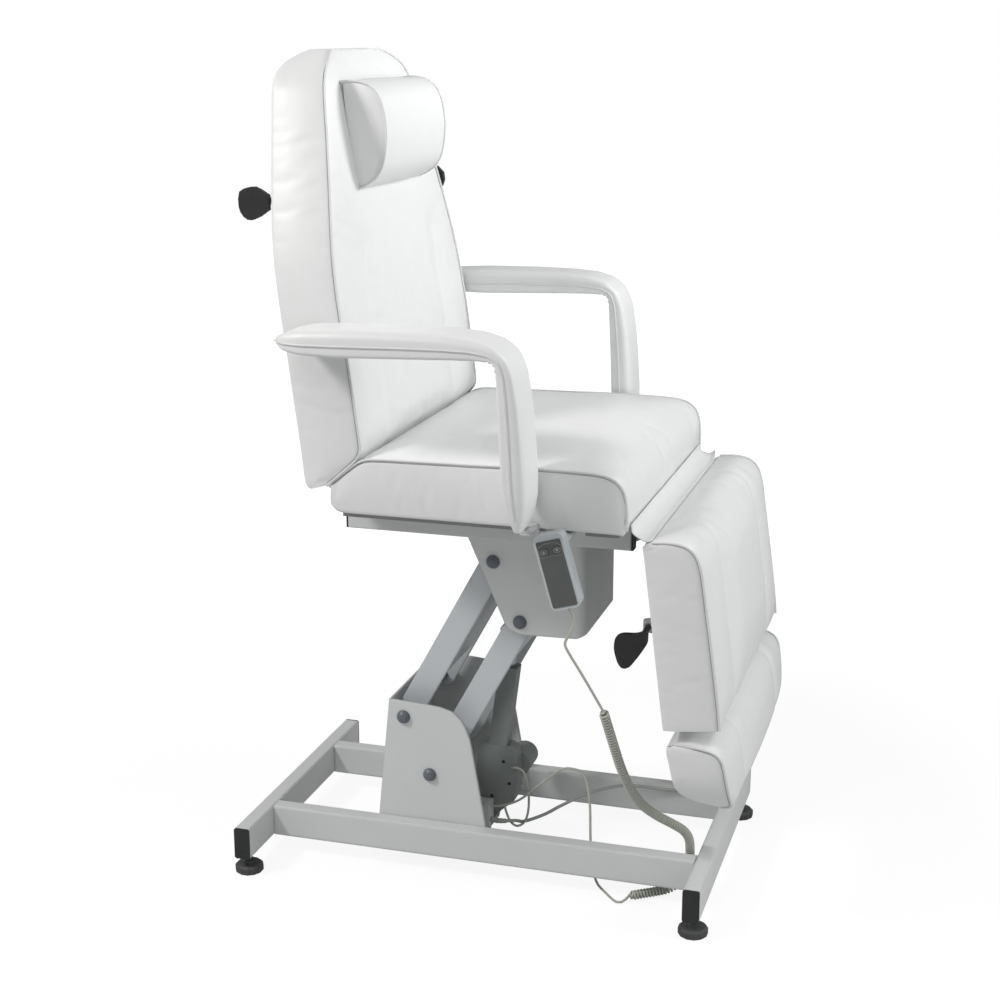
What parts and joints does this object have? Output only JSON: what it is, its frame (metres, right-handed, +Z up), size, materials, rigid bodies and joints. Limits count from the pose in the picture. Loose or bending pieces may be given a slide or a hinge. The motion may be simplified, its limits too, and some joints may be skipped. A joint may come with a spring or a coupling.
{
  "type": "facial bed",
  "caption": "White upholstered facial bed on a grey steel parallel lift, with a reclining back, hinged leg rest, sliding footrest, swing-out armrests and a corded hand control.",
  "frame": {"origin": "on the floor under the middle of the chair's box, cords left out", "axes": "+X forwards out of the seat, +Y to the patient's left, +Z up"},
  "size_m": [0.9395, 0.8612, 1.488],
  "materials": {
    "white_vinyl": "soft-grained white vinyl",
    "grey_powder_coat": "satin light grey powder coat",
    "black_plastic": "moulded, satin",
    "dark_rubber": "matt",
    "cap_plastic": "satin domed caps",
    "zinc_steel": "zinc plated",
    "actuator_plastic": "moulded, fine texture",
    "handset_plastic": "moulded, satin",
    "membrane": "printed film, plain",
    "button_film": "film",
    "cord_jacket": "flexible jacket",
    "plywood": "plywood painted grey"
  },
  "bodies": {
    "base": {"base_rail_right": "grey_powder_coat", "base_rail_left": "grey_powder_coat", "base_cross_rear": "grey_powder_coat", "base_cross_front": "grey_powder_coat", "base_cap_rear_right": "black_plastic", "base_cap_rear_left": "black_plastic", "base_cap_front_right": "black_plastic", "base_cap_front_left": "black_plastic", "lift_tower": "grey_powder_coat", "tower_pin_upper": "cap_plastic", "tower_pin_lower": "cap_plastic", "actuator_mount": "grey_powder_coat", "handset_cord": "cord_jacket", "mains_lead": "cord_jacket", "mains_plug": "black_plastic"},
    "upper_arm": {"upper_arm": "grey_powder_coat"},
    "lower_arm": {"lower_arm": "grey_powder_coat"},
    "seat": {"seat_bracket": "grey_powder_coat", "seat_pin_upper": "cap_plastic", "seat_pin_lower": "cap_plastic", "seat_rail_right": "grey_powder_coat", "seat_rail_left": "grey_powder_coat", "seat_subframe": "grey_powder_coat", "seat_cap_rear_right": "black_plastic", "seat_cap_rear_left": "black_plastic", "seat_cap_front_right": "black_plastic", "seat_cap_front_left": "black_plastic", "seat_board": "plywood", "seat_cushion": "white_vinyl", "arm_bracket_right": "grey_powder_coat", "arm_bracket_left": "grey_powder_coat", "handset_case": "handset_plastic", "handset_panel": "membrane", "hinge_flap": "white_vinyl"},
    "button_up": {"button_up": "button_film"},
    "button_down": {"button_down": "button_film"},
    "armrest_right": {"armrest_right": "white_vinyl"},
    "armrest_left": {"armrest_left": "white_vinyl"},
    "back": {"back_frame": "grey_powder_coat", "back_cushion": "white_vinyl", "head_pillow": "white_vinyl"},
    "back_release_bar": {"back_release_bar": "black_plastic"},
    "back_gas_cylinder": {"back_gas_cylinder": "black_plastic"},
    "back_gas_rod": {"back_gas_rod": "zinc_steel"},
    "leg": {"leg_frame": "grey_powder_coat", "leg_cushion": "white_vinyl"},
    "leg_release_paddle": {"leg_release_paddle": "black_plastic"},
    "leg_gas_cylinder": {"leg_gas_cylinder": "black_plastic"},
    "leg_gas_rod": {"leg_gas_rod": "zinc_steel"},
    "foot": {"foot_frame": "zinc_steel", "foot_cushion": "white_vinyl"},
    "actuator": {"actuator_body": "actuator_plastic", "actuator_motor": "actuator_plastic", "motor_lead": "cord_jacket"},
    "actuator_rod": {"actuator_rod": "zinc_steel"},
    "foot_rear_right": {"foot_rear_right": "dark_rubber"},
    "foot_rear_left": {"foot_rear_left": "dark_rubber"},
    "foot_front_right": {"foot_front_right": "dark_rubber"},
    "foot_front_left": {"foot_front_left": "dark_rubber"}
  },
  "joints": [
    {"name": "lift", "type": "hinge", "parent": "base", "child": "lower_arm", "pos_m": [-0.1237, 0, 0.186], "axis": [0, -1, 0], "range_deg": [-40, 0], "deforming": ["handset_cord"]},
    {"name": "upper_arm_swing", "type": "hinge", "parent": "base", "child": "upper_arm", "pos_m": [-0.1737, 0, 0.295], "axis": [0, -1, 0], "range_deg": [-40.01, 0.01]},
    {"name": "seat_level", "type": "hinge", "parent": "lower_arm", "child": "seat", "pos_m": [0.04331, 0, 0.49359], "axis": [0, -1, 0], "range_deg": [-0.01, 40.01]},
    {"name": "actuator_swing", "type": "hinge", "parent": "base", "child": "actuator", "pos_m": [-0.0497, 0, 0.05], "axis": [0, -1, 0], "range_deg": [-29.89, 0.01]},
    {"name": "actuator_stroke", "type": "slide", "parent": "actuator", "child": "actuator_rod", "axis": [0.1275, 0, 0.9918], "range_m": [-0.08252, 0.0001]},
    {"name": "back_recline", "type": "hinge", "parent": "seat", "child": "back", "pos_m": [-0.2287, 0, 0.693], "axis": [0, -1, 0], "range_deg": [0, 75]},
    {"name": "back_gas_swing", "type": "hinge", "parent": "seat", "child": "back_gas_cylinder", "pos_m": [-0.0187, 0.15, 0.643], "axis": [0, -1, 0], "range_deg": [-14.22, 0.01]},
    {"name": "back_gas_stroke", "type": "slide", "parent": "back_gas_cylinder", "child": "back_gas_rod", "axis": [-0.9997, 0, -0.0238], "range_m": [-0.04926, 0.0001]},
    {"name": "back_release", "type": "hinge", "parent": "back", "child": "back_release_bar", "pos_m": [-0.3637, 0, 1.241], "axis": [0, -1, 0], "range_deg": [-12, 12], "stiffness_Nm_per_rad": 2},
    {"name": "leg_raise", "type": "hinge", "parent": "seat", "child": "leg", "pos_m": [0.2943, 0, 0.704], "axis": [0, -1, 0], "range_deg": [0, 75], "deforming": ["hinge_flap"]},
    {"name": "leg_gas_swing", "type": "hinge", "parent": "seat", "child": "leg_gas_cylinder", "pos_m": [0.0363, 0.15, 0.654], "axis": [0, -1, 0], "range_deg": [-0.01, 6.18]},
    {"name": "leg_gas_stroke", "type": "slide", "parent": "leg_gas_cylinder", "child": "leg_gas_rod", "axis": [0.9995, 0, -0.0325], "range_m": [-0.0001, 0.06577]},
    {"name": "leg_release", "type": "hinge", "parent": "leg", "child": "leg_release_paddle", "pos_m": [0.3073, -0.2985, 0.558], "axis": [0, 1, 0], "range_deg": [0, 12], "stiffness_Nm_per_rad": 1.5},
    {"name": "foot_slide", "type": "slide", "parent": "leg", "child": "foot", "axis": [0.1273, 0, -0.9919], "range_m": [0, 0.06]},
    {"name": "armrest_right_swing", "type": "hinge", "parent": "seat", "child": "armrest_right", "pos_m": [0.1223, -0.358, 0.7425], "axis": [0, 0, 1], "range_deg": [0, 90]},
    {"name": "armrest_left_swing", "type": "hinge", "parent": "seat", "child": "armrest_left", "pos_m": [0.1223, 0.358, 0.7425], "axis": [0, 0, -1], "range_deg": [0, 90]},
    {"name": "button_up_press", "type": "slide", "parent": "seat", "child": "button_up", "axis": [0, 1, 0], "range_m": [0, 0.0012], "stiffness_N_per_m": 400},
    {"name": "button_down_press", "type": "slide", "parent": "seat", "child": "button_down", "axis": [0, 1, 0], "range_m": [0, 0.0012], "stiffness_N_per_m": 400},
    {"name": "foot_rear_right_screw", "type": "hinge", "parent": "base", "child": "foot_rear_right", "pos_m": [-0.4437, -0.25, 0.02], "axis": [0, 0, 1], "continuous": true},
    {"name": "foot_rear_left_screw", "type": "hinge", "parent": "base", "child": "foot_rear_left", "pos_m": [-0.4437, 0.25, 0.02], "axis": [0, 0, 1], "continuous": true},
    {"name": "foot_front_right_screw", "type": "hinge", "parent": "base", "child": "foot_front_right", "pos_m": [0.3963, -0.25, 0.02], "axis": [0, 0, 1], "continuous": true},
    {"name": "foot_front_left_screw", "type": "hinge", "parent": "base", "child": "foot_front_left", "pos_m": [0.3963, 0.25, 0.02], "axis": [0, 0, 1], "continuous": true}
  ],
  "couplings": [
    {"joint": "upper_arm_swing", "follows": "lift", "ratio": 1},
    {"joint": "seat_level", "follows": "lift", "ratio": -1},
    {"joint": "actuator_swing", "follows": "lift", "ratio": 0.74705},
    {"joint": "actuator_stroke", "follows": "lift", "m_per_rad": 0.11805},
    {"joint": "back_gas_swing", "follows": "back_recline", "ratio": -0.18943},
    {"joint": "back_gas_stroke", "follows": "back_recline", "m_per_rad": -0.037556},
    {"joint": "leg_gas_swing", "follows": "leg_raise", "ratio": 0.082216},
    {"joint": "leg_gas_stroke", "follows": "leg_raise", "m_per_rad": 0.050166}
  ]
}
